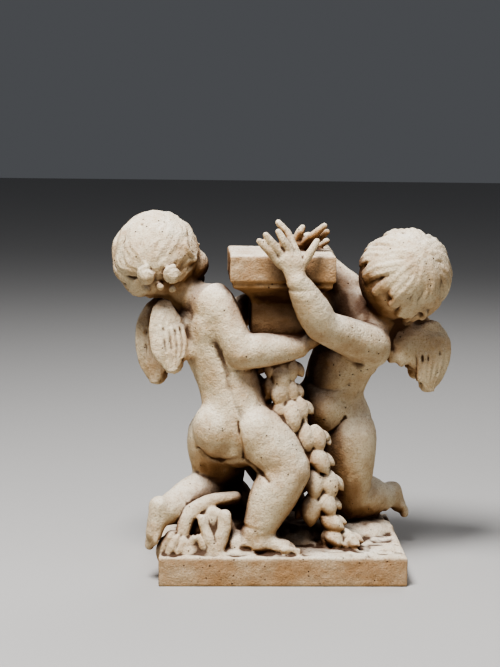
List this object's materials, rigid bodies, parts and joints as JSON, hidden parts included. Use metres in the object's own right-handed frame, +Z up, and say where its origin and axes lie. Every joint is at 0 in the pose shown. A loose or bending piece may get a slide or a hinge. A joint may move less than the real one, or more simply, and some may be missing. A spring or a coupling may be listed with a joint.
{
  "type": "stone putti group statue",
  "caption": "Tabletop stone group of winged putti who kneel on a low rectangular plinth and carry a moulded block, with a leaf garland and drapery between them.",
  "frame": {"origin": "middle of the plinth's flat underside, on the surface the statue stands on", "axes": "+Z up through the figures, +X to the viewer's right along the plinth's long side, +Y to the back along its short side"},
  "size_m": [0.2864, 0.1472, 0.3024],
  "materials": {
    "stone": "matte, gritty, with warm dirt in the recesses"
  },
  "bodies": {
    "root": {"putti_group": "stone"}
  },
  "joints": []
}
